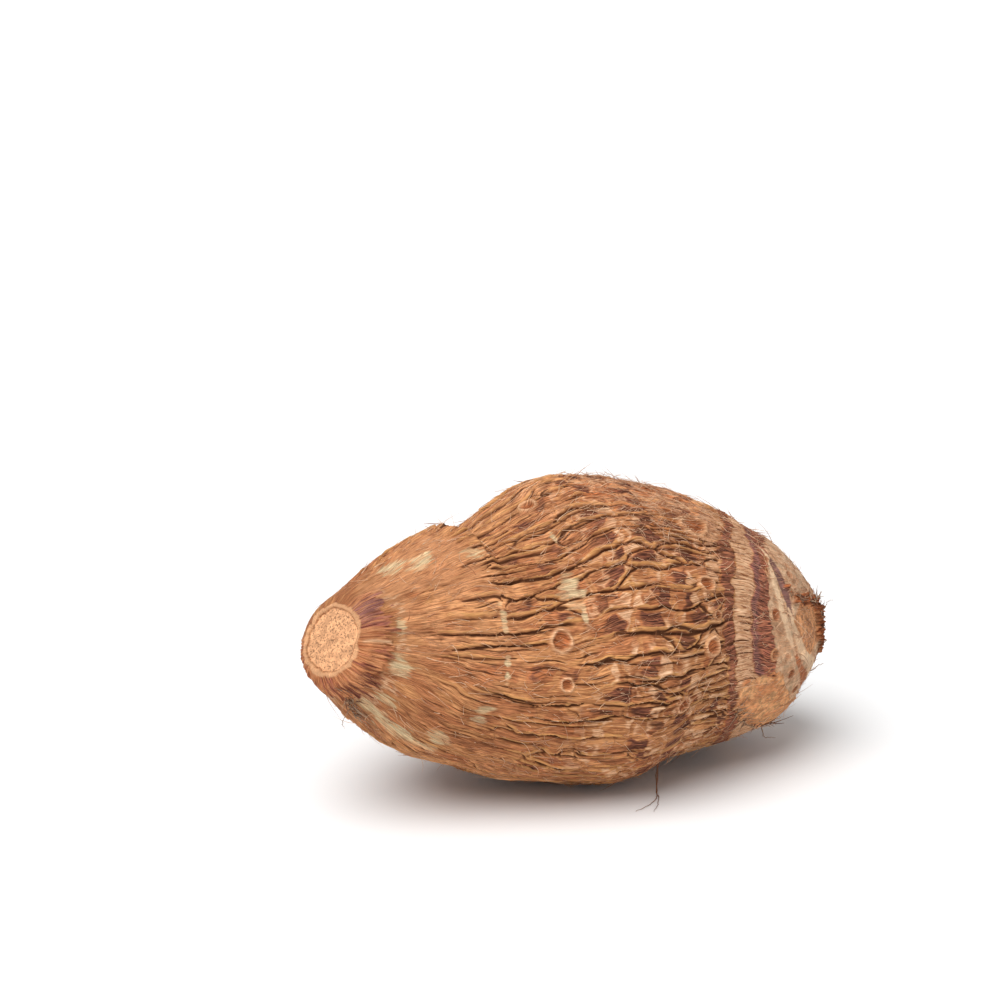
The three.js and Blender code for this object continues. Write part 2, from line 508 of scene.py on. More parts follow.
def add_scar_zones(grid, sheet):
    """The scar's face, the moat and the lip round it, and the collar, whose
    outer edge runs out in flames. Reaches are in mm from the scar's middle."""
    angle, reach = grid.angle, grid.reach
    rim = reach + 0.25 * sheet.stray
    sheet.face = 1 - smooth_step(*FACE_END, rim)
    moat = hill(rim + 0.14 * sheet.ragged, FACE_END[1], 0.22)
    sheet.moat = moat * smooth_step(-0.6, 0.8, sheet.lane + 0.6 * sheet.ragged)
    sheet.lip = between(rim, LIP_FROM, LIP_END + 0.25 * sheet.lane, 0.25)

    low_side = 0.5 * (1 + np.cos(turn_from(angle, 235)))
    end = COLLAR_END + 1.2 * sheet.ragged + 1.3 * np.cos(turn_from(angle, 150))
    end = end + (0.5 + 1.3 * low_side) * sheet.lane
    shown = smooth_step(0.15, 0.3, 0.5 * (1 - np.cos(turn_from(angle, 45))) + 0.03 * sheet.stray)
    collar = smooth_step(*COLLAR_FROM, rim - 0.25 * sheet.lane)
    sheet.collar = collar * (1 - smooth_step(-0.5, 0.5, reach - end)) * shown
    sheet.collar_edge = hill(reach - end, 1.3, 1.4) * shown * smooth_step(-0.9, 0.3, sheet.lane)
    sheet.collar_dusk = sheet.collar * hill(turn_from(angle, 120), 0, 0.42)
    pale_ray = hill(turn_from(angle, 166) * reach, 0.4 * sheet.stray, 0.7) * smooth_step(11, 13, reach)
    sheet.pale_ray = pale_ray * sheet.collar
    flames = 0.8 * hill(reach - end, -1.8, 2.0) * smooth_step(-0.5, 0.6, sheet.lane)
    low = hill(turn_from(angle, 222), 0, 0.6) * smooth_step(13, 17, reach)
    sheet.collar_low = sheet.collar * np.maximum(low, flames)


def add_body_zones(grid, sheet):
    """Smooth and shaggy skin, the rough skin between them, and painted light: a paler tan on the upper
    left, the top and the low edge.
    """
    share, angle = grid.share, grid.angle
    top = hill(turn_from(angle, 104), 0, 0.55) * between(share, 0.02, 0.225, 0.03)
    sheet.smooth_top = np.clip(top * (1 + 0.25 * sheet.lane), 0, 1)
    sheet.smooth_low = hill(turn_from(angle, 210), 0, 0.8) * (1 - smooth_step(0.16, 0.36, share))
    shaggy = hill(turn_from(angle, 100), 0, 0.42) * between(share, 0.5, 0.7, 0.05)
    sheet.shaggy = np.clip(shaggy, 0, 1)

    # Painted light: a paler, lighter tan on the upper left, on the top and along the low edge.
    left_side = hill(turn_from(angle, 140), 0, 0.7) * between(share, 0.05, 0.27, 0.04)
    top_side = hill(turn_from(angle, 95), 0, 0.6) * between(share, 0.25, 0.5, 0.08)
    low_edge = hill(turn_from(angle, 250), 0, 0.4) * between(share, 0.1, 0.6, 0.1)
    sheet.faded = np.clip((left_side + 0.7 * top_side + 0.6 * low_edge) * (1 + 0.35 * sheet.lane), 0, 1)

    rough = smooth_step(0.03, 0.17, share) * (1 - smooth_step(*ROUGH_END, sheet.ring))
    sheet.rough = rough * (1 - 0.95 * sheet.smooth_top) * (1 - 0.6 * sheet.smooth_low) * (1 - 0.6 * shaggy)


def add_shoot_zones(grid, sheet):
    """The bare skin past the wide dark ring, the old leaf sheath that lies on
    it, between an upper and a lower edge in degrees, and the shoot's tip."""
    share, degrees = grid.share, np.degrees(grid.angle)
    sheet.bare = smooth_step(WIDE_DARK_RING[1] - 0.004, WIDE_DARK_RING[1] + 0.004, sheet.ring)
    past_top = degrees - 187.5 - 600 * np.maximum(0, share - 0.85) + 1.2 * sheet.ragged
    past_low = degrees - 201 - 300 * (share - 0.746) + 2 * sheet.ragged + 2 * sheet.lane
    sheet.sheath = smooth_step(-1, 1.5, past_top) * (1 - smooth_step(-1.5, 1.5, past_low))
    sheet.sheath = sheet.sheath * smooth_step(0.742, 0.748, share)
    sheet.tip = smooth_step(0.965, 0.98, share + 0.004 * sheet.ragged)


# Rows of random numbers that the plates draw on, and how many plates, wrinkles
# and stripes lie round the corm.
PLATE_ROWS = 64
PLATE_LANES = 46
LONG_WRINKLES = 50
FINE_WRINKLES = 135
BAND_STRIPES = 165


def plate_cells(seed, grid, row, row_mm, lanes, aside_mm):
    """Plates of skin in rows along the corm and lanes round it. Gives the
    distance in mm to the nearest plate's edge, how much that edge runs across,
    the place along the plate from 0 to 1, the distance in mm below its middle
    and two random numbers that are the plate's own."""
    table = np.random.default_rng(seed).random((PLATE_ROWS, lanes, 4))
    lane_mm = 2 * math.pi * grid.radius / lanes
    lane = (grid.angle / (2 * math.pi) + aside_mm / MEAN_CIRCUMFERENCE) * lanes
    row, lane = np.broadcast_arrays(row, lane)
    # Lengths along the corm count for less, so that plates come out long.
    squeeze = 0.35
    # The nearest and the second nearest plate's middle at each place so far.
    best = [np.full(grid.shape, 1e6)] + [np.zeros(grid.shape) for _ in range(4)]
    second = [np.full(grid.shape, 1e6)] + [np.zeros(grid.shape) for _ in range(2)]
    for row_step in (-1, 0, 1):
        for lane_step in (-1, 0, 1):
            r, c = np.floor(row) + row_step, np.floor(lane) + lane_step
            own = table[r.astype(int) % PLATE_ROWS, c.astype(int) % lanes]
            # Each middle strays from its row and lane, but not to their edges.
            down = (row - r - 0.2 - 0.6 * own[..., 0]) * row_mm * squeeze
            aside = (lane - c - 0.18 - 0.64 * own[..., 1]) * lane_mm
            away = np.hypot(down, aside)
            nearer = away < best[0]
            runner_up = ~nearer & (away < second[0])
            for k, value in enumerate((away, down, aside)):
                second[k] = np.where(nearer, best[k], np.where(runner_up, value, second[k]))
            for k, value in enumerate((away, down, aside, own[..., 2], own[..., 3])):
                best[k] = np.where(nearer, value, best[k])
    turn_down, turn_aside = best[1] - second[1], best[2] - second[2]
    apart = np.maximum(np.hypot(turn_down, turn_aside), 1e-3)
    slope_down, slope_aside = squeeze * turn_down / apart, turn_aside / apart
    slope = np.maximum(np.hypot(slope_down, slope_aside), 1e-3)
    edge = (second[0] ** 2 - best[0] ** 2) / (2 * apart) / slope
    across = np.abs(slope_down) / slope
    return edge, across, best[1] / (row_mm * squeeze) + 0.5, best[2], best[3], best[4]


def add_wrinkles(grid, sheet):
    """Plates with rounded edges and thin cracks between them, and long
    wrinkles that run past several plates."""
    row = np.interp(sheet.ring, BAND_LINES, np.arange(len(BAND_LINES)))
    index = np.clip(row.astype(int), 0, len(BAND_LINES) - 2)
    row_mm = np.diff(BAND_LINES)[index] * SPINE_LENGTH
    warp = sheet.wander + 0.15 * soft_noise(16, grid, 3, 2.2)
    edge, across, along, below, own, own_too = plate_cells(61, grid, row, row_mm, PLATE_LANES, warp)
    open_crack = smooth_step(-1.7, 0.4, soft_noise(23, grid, 26, 7))
    thin = 0.44 + 0.1 * soft_noise(24, grid, 5, 3)
    crack = hill(edge, 0, np.maximum(thin, 0.22)) * (1 - 0.75 * smooth_step(0.35, 0.9, across))
    lower_side = smooth_step(-1.2, 1.6, below)
    crest = hill(edge, 1.25, 0.75) * (0.3 + 0.7 * lower_side) * (1 - smooth_step(0.4, 0.9, across))

    main = shifted(ripples(21, grid, LONG_WRINKLES, 12, 60), grid, 1.5 * sheet.stray, sheet.wander)
    phase = np.angle(main)
    keen = smooth_step(0.1, 0.5, np.abs(main)) * smooth_step(-0.3, 1.2, soft_noise(25, grid, 40, 6))
    long_crack = hill(phase, 0, 0.34) * keen
    long_crest = hill(phase, -1.1, 0.65) * keen

    sheet.groove = np.maximum(crack * (0.15 + 0.85 * open_crack), 0.9 * long_crack) * sheet.rough
    sheet.crest = np.maximum(crest * (0.45 + 0.55 * open_crack), 0.9 * long_crest) * sheet.rough
    # A soft dip round the cracks and along the long wrinkles, which is also painted as shade there.
    soft = np.maximum(hill(edge, 0, 1.0) * open_crack * (1 - 0.6 * across), hill(phase, 0, 0.9) * keen)
    sheet.hollow = soft * sheet.rough
    sheet.plate = smooth_step(0.8, 1.6, edge) * (0.4 + 0.6 * own)
    sheet.along, sheet.own, sheet.own_too = along, own, own_too


def add_fine_wrinkles(grid, sheet):
    """Fine wrinkles within the plates, and the stripes of the pale band."""
    fine = shifted(ripples(31, grid, FINE_WRINKLES, 34, 15), grid, 0, 0.9 * sheet.wander)
    spread = soft_noise(33, grid, 15, 3.5) + 0.7 * sheet.smooth_low + 0.35 * sheet.shaggy
    zone = smooth_step(0.03, 0.2, grid.share) * (1 - smooth_step(0.74, 0.76, sheet.ring))
    fine_groove = hill(np.angle(fine), 0, 0.6) * smooth_step(0.25, 0.9, np.abs(fine))
    fine_groove = fine_groove * smooth_step(-1.1, 0.8, spread)
    sheet.fine_groove = fine_groove * zone * (1 - 0.7 * sheet.smooth_top)

    stripes = shifted(ripples(41, grid, BAND_STRIPES, 50, 5), grid, 0, 0.5 * sheet.wander)
    sheet.striped = between(sheet.ring, *STRIPED_BAND, 0.003)
    stripe = hill(np.angle(stripes), 0, 0.55) * smooth_step(0.15, 0.8, np.abs(stripes))
    sheet.stripe = stripe * sheet.striped


def add_bands(grid, sheet):
    """Dark ends and pale gaps of the scaly plates, the two dark rings and the
    foot of the notch, painted with shade and brown."""
    ring, along = sheet.ring, sheet.along + 0.05 * sheet.ragged + 0.05 * sheet.lane
    scaly = smooth_step(SCALY_FROM - 0.05, SCALY_FROM + 0.08, ring)
    scaly = scaly * (1 - smooth_step(*SCALY_END, ring))
    inner = smooth_step(0.12, 0.4, sheet.plate)
    worn_gap = hill(along, 0.34, 0.05) * (sheet.own_too > 0.45)

    # A scale darkens along its length up to its pale end, a few plates outside
    # the scaly skin have a dark middle, and a fringe by the first ring is pale.
    darkening = smooth_step(0.0, 0.4, along - 0.15 * sheet.own_too) * (1 - smooth_step(0.74, 0.79, along))
    few = smooth_step(0.72, 0.8, sheet.own) * hill(along, 0.55, 0.22) * (1 - scaly) * sheet.rough
    strong = smooth_step(0.15, 0.3, sheet.own)
    by_ring = between(ring, 0.64, 0.672, 0.006) * hill(turn_from(grid.angle, 140), 0, 0.65)
    by_ring = by_ring * smooth_step(-1.0, 0.4, sheet.lane)
    darkening = darkening * (1 - 0.9 * worn_gap) * scaly * strong
    sheet.dark = inner * np.maximum(darkening, few) * (1 - 0.85 * by_ring)

    # The gaps between scales are pale in most places, and so are some scales.
    ends = smooth_step(0.78, 0.84, along) + (1 - smooth_step(0.06, 0.12, along)) + worn_gap
    gaps = smooth_step(-1.3, 0.3, soft_noise(54, grid, 5, 4))
    pale_plates = 0.8 * (sheet.own < 0.2) * smooth_step(0.5, 0.6, ring)
    sheet.pale = np.clip(ends + pale_plates, 0, 1) * smooth_step(0.02, 0.3, sheet.plate) * gaps * scaly
    sheet.pale = np.maximum(sheet.pale, 0.8 * by_ring)

    sheet.ring_one = between(ring, *DARK_RING, 0.0025)
    sheet.ring_two = between(ring, *WIDE_DARK_RING, 0.0022)
    sheet.ring_two_dusk = between(ring, WIDE_DARK_RING[0], WIDE_DARK_RING[0] + 0.02, 0.006)

    # The foot of the notch: a dip, painted with shade and its brown.
    mark = hill(grid.share + 0.003 * sheet.stray + 0.002 * sheet.ragged, 0.262, 0.008)
    sheet.notch = mark * hill(turn_from(grid.angle, 68), 0, 0.62)


def oval_distance(grid, place, half_length, half_width):
    """Distance from a place on the skin, 1 at the edge of an oval round it."""
    lengthwise, crosswise = distance_from(grid, *place)
    return np.hypot(lengthwise / half_length, crosswise / half_width)


def add_marks(grid, sheet):
    """Bud scars, worn patches, leaf edges and the fresh tissue at the shoot."""
    sheet.bud_rim, sheet.bud_pit, sheet.bud_any = (np.zeros(grid.shape) for _ in range(3))
    for share, degrees, size, darkness in BUDS:
        lengthwise, crosswise = distance_from(grid, share, degrees)
        away = np.hypot(lengthwise, crosswise) / size + 0.07 * sheet.stray + 0.04 * sheet.ragged
        sheet.bud_rim = np.maximum(sheet.bud_rim, hill(away, 0.9, 0.2))
        # On the shoot end the dark middle reaches over the rim.
        pit = 0.85 if share < SHOOT_END_FROM else 1.15
        sheet.bud_pit = np.maximum(sheet.bud_pit, darkness * (1 - smooth_step(0.6 * pit, pit, away)))
        sheet.bud_any = np.maximum(sheet.bud_any, 1 - smooth_step(1.05, 1.35, away))

    sheet.worn = np.zeros(grid.shape)
    ragged = 0.26 * soft_noise(17, grid, 5, 1.1) + 0.14 * sheet.lane
    for share, degrees, half_length, half_width in WORN_PATCHES:
        away = oval_distance(grid, (share, degrees), half_length, half_width) + ragged
        sheet.worn = np.maximum(sheet.worn, 1 - smooth_step(0.6, 1.15, away))

    on_shoot_end = grid.share > SHOOT_END_FROM
    share, degrees, half_length, half_width = LENS
    away = oval_distance(grid, (share, degrees), half_length, half_width) + 0.06 * sheet.stray
    sheet.lens = np.where(on_shoot_end, 1 - smooth_step(0.9, 1.05, away), 0)

    ragged = 0.15 * sheet.stray + 0.12 * sheet.ragged
    leaf_marks = (("leaf_strip", PALE_STRIPS), ("leaf_edge", PURPLE_EDGES), ("leaf_line", BROWN_LINES))
    for name, lines in leaf_marks:
        marks = [on_line(grid, places, widths, ragged) for places, widths in lines]
        setattr(sheet, name, np.max(marks, axis=0) * on_shoot_end)
    sheet.torn_rim = on_line(grid, *TORN_RIM, 3 * ragged) * on_shoot_end


def clear_wrinkles(sheet):
    """Takes the wrinkles off the marks, and most of them off the rings."""
    plain = (1 - sheet.bud_any) * (1 - 0.85 * sheet.worn) * (1 - sheet.sheath)
    ringless = 1 - 0.75 * np.maximum(np.maximum(sheet.ring_one, sheet.ring_two), sheet.striped)
    sheet.groove = sheet.groove * plain * ringless
    sheet.crest = sheet.crest * plain * ringless
    sheet.hollow = sheet.hollow * plain * ringless
    sheet.fine_groove = sheet.fine_groove * plain
    sheet.not_marked = (1 - sheet.bud_any) * (1 - sheet.sheath)


def skin_height(grid, sheet):
    """Height in mm above the smooth body."""
    on_body = smooth_step(12, 20, grid.reach)
    fibre = soft_noise(71, grid, 8, 0.9)
    height = 0.8 * sheet.crest - 1.05 * sheet.groove - 0.12 * sheet.hollow - 0.45 * sheet.fine_groove
    height += (0.05 + 0.05 * sheet.rough + 0.12 * sheet.shaggy) * fibre * on_body
    height += 0.35 * soft_noise(72, grid, 18, 14) * smooth_step(0.05, 0.2, grid.share) * (1 - sheet.bare)
    height += 0.3 * sheet.shaggy * soft_noise(74, grid, 5, 2.5)
    height += 0.9 * sheet.bud_rim - 0.6 * sheet.bud_pit - 0.25 * sheet.worn
    rings = (0.3 * sheet.ring_one + 0.3 * sheet.ring_two) * sheet.not_marked
    height += rings - 0.16 * sheet.stripe * sheet.not_marked
    height += 0.7 * sheet.sheath * (1 + 0.25 * sheet.stray) - 1.1 * sheet.notch
    height += 0.15 * sheet.leaf_strip - 0.2 * sheet.leaf_edge - 0.15 * sheet.leaf_line - 0.7 * sheet.lens
    height += 1.3 * sheet.torn_rim * (1 + 0.35 * soft_noise(77, grid, 1.5, 1.5))
    height += 0.35 * sheet.tip * (1 + 0.8 * soft_noise(75, grid, 4, 2))
    height += 0.3 * sheet.lip - 0.2 * sheet.moat + 0.35 * sheet.face * (1 - (grid.reach / SCAR_RADIUS) ** 2)
    height += 0.04 * sheet.face * soft_noise(76, grid, 1.2, 4) * smooth_step(1, 5, grid.reach)
    height += 0.35 * sheet.collar * (1 + 0.5 * soft_noise(73, grid, 7, 1.3))
    return height


def skin_masks(grid, sheet):
    """Masks from 0 to 1 for the skin's colours, by name."""
    blotch = soft_noise(78, grid, 14, 6)
    plate = sheet.plate * sheet.rough + (0.42 + 0.35 * sheet.smooth_low) * (1 - sheet.rough)
    rings = np.maximum(0.95 * sheet.ring_one, sheet.ring_two)
    pale = (sheet.pale + sheet.striped) * sheet.not_marked * (1 - sheet.bud_pit)
    pale = pale + 0.85 * sheet.bud_rim + 0.9 * sheet.collar_edge + sheet.pale_ray
    return {
        # Cracks, fine wrinkles and the notch's foot: their dark brown, with painted shade in them.
        "groove": np.clip(sheet.groove + 0.9 * sheet.fine_groove + 0.8 * sheet.notch, 0, 1),
        "plate": plate + 0.36 * blotch,
        "dusk": 0.7 * sheet.ring_two_dusk,
        "collar_dusk": sheet.collar_dusk,
        "collar_low": sheet.collar_low,
        # Painted shade round the cracks and long wrinkles, and their soft dip.
        "hollow": sheet.hollow,
        "crest": sheet.crest,
        "dark_scale": np.maximum(sheet.dark, rings) * sheet.not_marked,
        "dark_ring": np.maximum(0.6 * sheet.ring_one, sheet.ring_two) * sheet.not_marked,
        "pale_skin": np.clip(pale, 0, 1),
        "worn": sheet.worn,
        "shaggy": sheet.shaggy * sheet.not_marked,
        "bud_pit": sheet.bud_pit,
        "smooth_skin": sheet.smooth_top,
        # Painted light: a paler tan on the upper left, the top and the low edge.
        "faded": sheet.faded * sheet.not_marked,
        "collar": sheet.collar * (1 - 0.95 * sheet.pale_ray),
        "scar_face": sheet.face,
        "moat": sheet.moat,
        "lip": sheet.lip * (1 - sheet.face),
        "bare_end": sheet.bare * (1 - sheet.sheath) * (1 - sheet.tip),
        "sheath": sheet.sheath * (1 - sheet.tip),
        "lens": sheet.lens,
        "leaf_edge": sheet.leaf_edge * (1 - sheet.sheath) * (1 - sheet.leaf_strip),
        "leaf_line": sheet.leaf_line * (1 - sheet.sheath),
        "stripe": sheet.stripe * sheet.not_marked,
        "leaf_strip": sheet.leaf_strip * (1 - sheet.tip),
        "tip": np.maximum(sheet.tip * (1 - 0.8 * sheet.lens), sheet.torn_rim),
    }


def skin_sheet(grid):
    """Every zone, wrinkle and mark of the skin, as fields over the grid."""
    sheet = SimpleNamespace()
    add_fields(grid, sheet)
    add_scar_zones(grid, sheet)
    add_body_zones(grid, sheet)
    add_shoot_zones(grid, sheet)
    add_wrinkles(grid, sheet)
    add_fine_wrinkles(grid, sheet)
    add_bands(grid, sheet)
    add_marks(grid, sheet)
    clear_wrinkles(sheet)
    return sheet


# The skin's fibres are coloured as if they ran round a drum of this radius in
# mm, and the unwrapped skin keeps this far from the edge of its square.
GRAIN_RADIUS = 42.0
UV_MARGIN = 0.004


def settle_on_floor(points):
    """Flattens what would sink through the floor, with a rounded edge."""
    edge_mm = 0.5
    z = points[..., 2]
    points[..., 2] = 0.5 * (z + np.sqrt(z * z + edge_mm * edge_mm))
    return points


def grid_faces(rows, columns):
    """Quads of a tube of rows, and where their corners lie on the unwrapped skin."""
    row, column = np.meshgrid(np.arange(rows - 1), np.arange(columns), indexing="ij")
    after = (column + 1) % columns
    here, there = row * columns + column, row * columns + after
    quads = np.stack([here, here + columns, there + columns, there], -1).reshape(-1, 4)
    u = np.stack([column, column, column + 1, column + 1], -1).reshape(-1, 4) / columns
    v = np.stack([row, row + 1, row + 1, row], -1).reshape(-1, 4) / (rows - 1)
    return quads, np.stack([u, v], -1)


def mesh_object(name, vertices, faces, body="root"):
    """A smooth-shaded piece that moves with one body of the model."""
    mesh = bpy.data.meshes.new(name)
    mesh.from_pydata(vertices, [], faces)
    mesh.validate()
    mesh.shade_smooth()
    piece = bpy.data.objects.new(name, mesh)
    bpy.context.scene.collection.objects.link(piece)
    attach(piece, body)
    return piece


def set_values(mesh, name, values):
    """Stores one number for each point of a mesh, for its material to read."""
    layer = mesh.attributes.new(name, "FLOAT", "POINT")
    layer.data.foreach_set("value", np.ascontiguousarray(values, np.float32).ravel())


def set_grain(mesh, grid, wander):
    """Stores where each point lies in mm along and round the fibres, which
    wander a little from side to side."""
    turned = grid.angle + wander / (MEAN_CIRCUMFERENCE / (2 * math.pi))
    parts = np.broadcast_arrays(grid.reach, GRAIN_RADIUS * np.cos(turned), GRAIN_RADIUS * np.sin(turned))
    layer = mesh.attributes.new("grain", "FLOAT_VECTOR", "POINT")
    layer.data.foreach_set("vector", np.stack(parts, -1).astype(np.float32).ravel())


def set_unwrapping(mesh, side_places, columns):
    """Lays the unwrapped skin out in the unit square, clear of its border. The
    two end faces fold into the square's lower and upper edge."""
    turn = np.arange(columns) / columns
    first = np.stack([turn[::-1], np.zeros(columns)], -1)
    last = np.stack([turn, np.ones(columns)], -1)
    places = np.vstack([side_places.reshape(-1, 2), first, last])
    layer = mesh.uv_layers.new(name="OFBake")
    layer.data.foreach_set("uv", (UV_MARGIN + (1 - 2 * UV_MARGIN) * places).astype(np.float32).ravel())


def build_skin_mesh(settings):
    """The corm's skin, with its grid and its finished points in metres."""
    grid = corm_grid(ROW_STEP, COLUMNS)
    sheet = skin_sheet(grid)
    height = skin_height(grid, sheet) * settings.relief
    points = grid.points + grid.normals * height[..., None]
    points = settle_on_floor(points) * MM

    rows, columns = grid.shape
    quads, side_places = grid_faces(rows, columns)
    first_end = list(range(columns - 1, -1, -1))
    last_end = list(range((rows - 1) * columns, rows * columns))
    faces = quads.tolist() + [first_end, last_end]
    piece = mesh_object("corm_skin", points.reshape(-1, 3).tolist(), faces)
    set_unwrapping(piece.data, side_places, columns)
    for name, values in skin_masks(grid, sheet).items():
        set_values(piece.data, name, np.broadcast_to(values, grid.shape))
    set_grain(piece.data, grid, sheet.wander)
    return piece, grid, points


# ---------------------------------------------------------------------------
# Materials.


class Nodes:
    """Adds nodes to one tree and joins them up."""

    def __init__(self, tree):
        self.tree = tree

    def add(self, kind, **settings):
        """A new node with its settings."""
        node = self.tree.nodes.new(kind)
        for key, value in settings.items():
            setattr(node, key, value)
        return node

    def feed(self, node, socket, source):
        """Gives a node's input a link or a value."""
        if isinstance(source, bpy.types.NodeSocket):
            self.tree.links.new(source, node.inputs[socket])
        else:
            node.inputs[socket].default_value = source

    def attribute(self, name, output="Fac"):
        """What the mesh stores under a name."""
        return self.add("ShaderNodeAttribute", attribute_name=name).outputs[output]

    def math(self, operation, a, b):
        """A sum, difference or product."""
        node = self.add("ShaderNodeMath", operation=operation)
        self.feed(node, 0, a)
        self.feed(node, 1, b)
        return node.outputs[0]

    def scaled(self, value, factor):
        """A value times a factor."""
        return self.math("MULTIPLY", value, factor)

    def rise(self, value, low, high, bottom=0.0, top=1.0):
        """A smooth change from bottom, at low, to top, at high."""
        node = self.add("ShaderNodeMapRange", interpolation_type="SMOOTHSTEP")
        self.feed(node, "Value", value)
        self.feed(node, "From Min", low)
        self.feed(node, "From Max", high)
        self.feed(node, "To Min", bottom)
        self.feed(node, "To Max", top)
        return node.outputs["Result"]

    def mix(self, amount, below, above):
        """One colour over another; the Mix node's colours are inputs 6 and 7."""
        node = self.add("ShaderNodeMix", data_type="RGBA")
        self.feed(node, 0, amount)
        for socket, source in ((6, below), (7, above)):
            if not isinstance(source, bpy.types.NodeSocket) and len(source) == 3:
                source = (*source, 1.0)
            self.feed(node, socket, source)
        return node.outputs[2]

    def noise(self, place, scale, detail, roughness=0.55):
        """Cloudy noise, with about scale lumps to each unit of length."""
        node = self.add("ShaderNodeTexNoise")
        self.feed(node, "Vector", place)
        self.feed(node, "Scale", scale)
        self.feed(node, "Detail", detail)
        self.feed(node, "Roughness", roughness)
        return node.outputs["Fac"]

    def stretch(self, place, scale):
        """A place stretched by a factor for each axis."""
        node = self.add("ShaderNodeMapping")
        self.feed(node, "Vector", place)
        node.inputs["Scale"].default_value = scale
        return node.outputs["Vector"]


# Kinds of streak: how the grain is stretched, the noise's scale, detail and
# roughness, and how far each side of its middle value it is drawn out.
FIBRE_STREAKS = {
    "Fine Streak": ((0.045, 1.0, 1.0), 3.0, 2.0, 0.65, 0.12),
    "Thread": ((0.06, 1.0, 1.0), 4.6, 1.0, 0.6, 0.12),
    "Broad Streak": ((0.14, 0.5, 0.5), 0.8, 3.0, 0.6, 0.16),
    "Mottle": ((0.6, 1.0, 1.0), 0.3, 4.0, 0.65, 0.12),
}


def fibre_group():
    """Streaks that run lengthwise, from a place in millimetres of grain."""
    group = bpy.data.node_groups.get("Lengthwise Fibres")
    if group:
        return group
    group = bpy.data.node_groups.new("Lengthwise Fibres", "ShaderNodeTree")
    group.interface.new_socket("Grain", in_out="INPUT", socket_type="NodeSocketVector")
    for name in FIBRE_STREAKS:
        group.interface.new_socket(name, in_out="OUTPUT", socket_type="NodeSocketFloat")
    nodes = Nodes(group)
    grain = nodes.add("NodeGroupInput").outputs["Grain"]
    out = nodes.add("NodeGroupOutput")
    for name, (stretch, scale, detail, roughness, spread) in FIBRE_STREAKS.items():
        streak = nodes.noise(nodes.stretch(grain, stretch), scale, detail, roughness)
        nodes.feed(out, name, nodes.rise(streak, 0.5 - spread, 0.5 + spread))
    return group


def new_material(name):
    """A material, its tree and the tree's Principled shader."""
    material = bpy.data.materials.new(name)
    material.use_nodes = True
    tree = material.node_tree
    return material, tree, tree.nodes["Principled BSDF"]


def tinted(colour, factor):
    """A darker or lighter shade of a colour."""
    return tuple(min(1.0, c * factor) for c in colour[:3])


def faded(colour, factor, pale, share):
    """A lighter shade of a colour, faded towards a pale one."""
    return tuple((1 - share) * min(1.0, c * factor) + share * p for c, p in zip(colour[:3], pale[:3]))


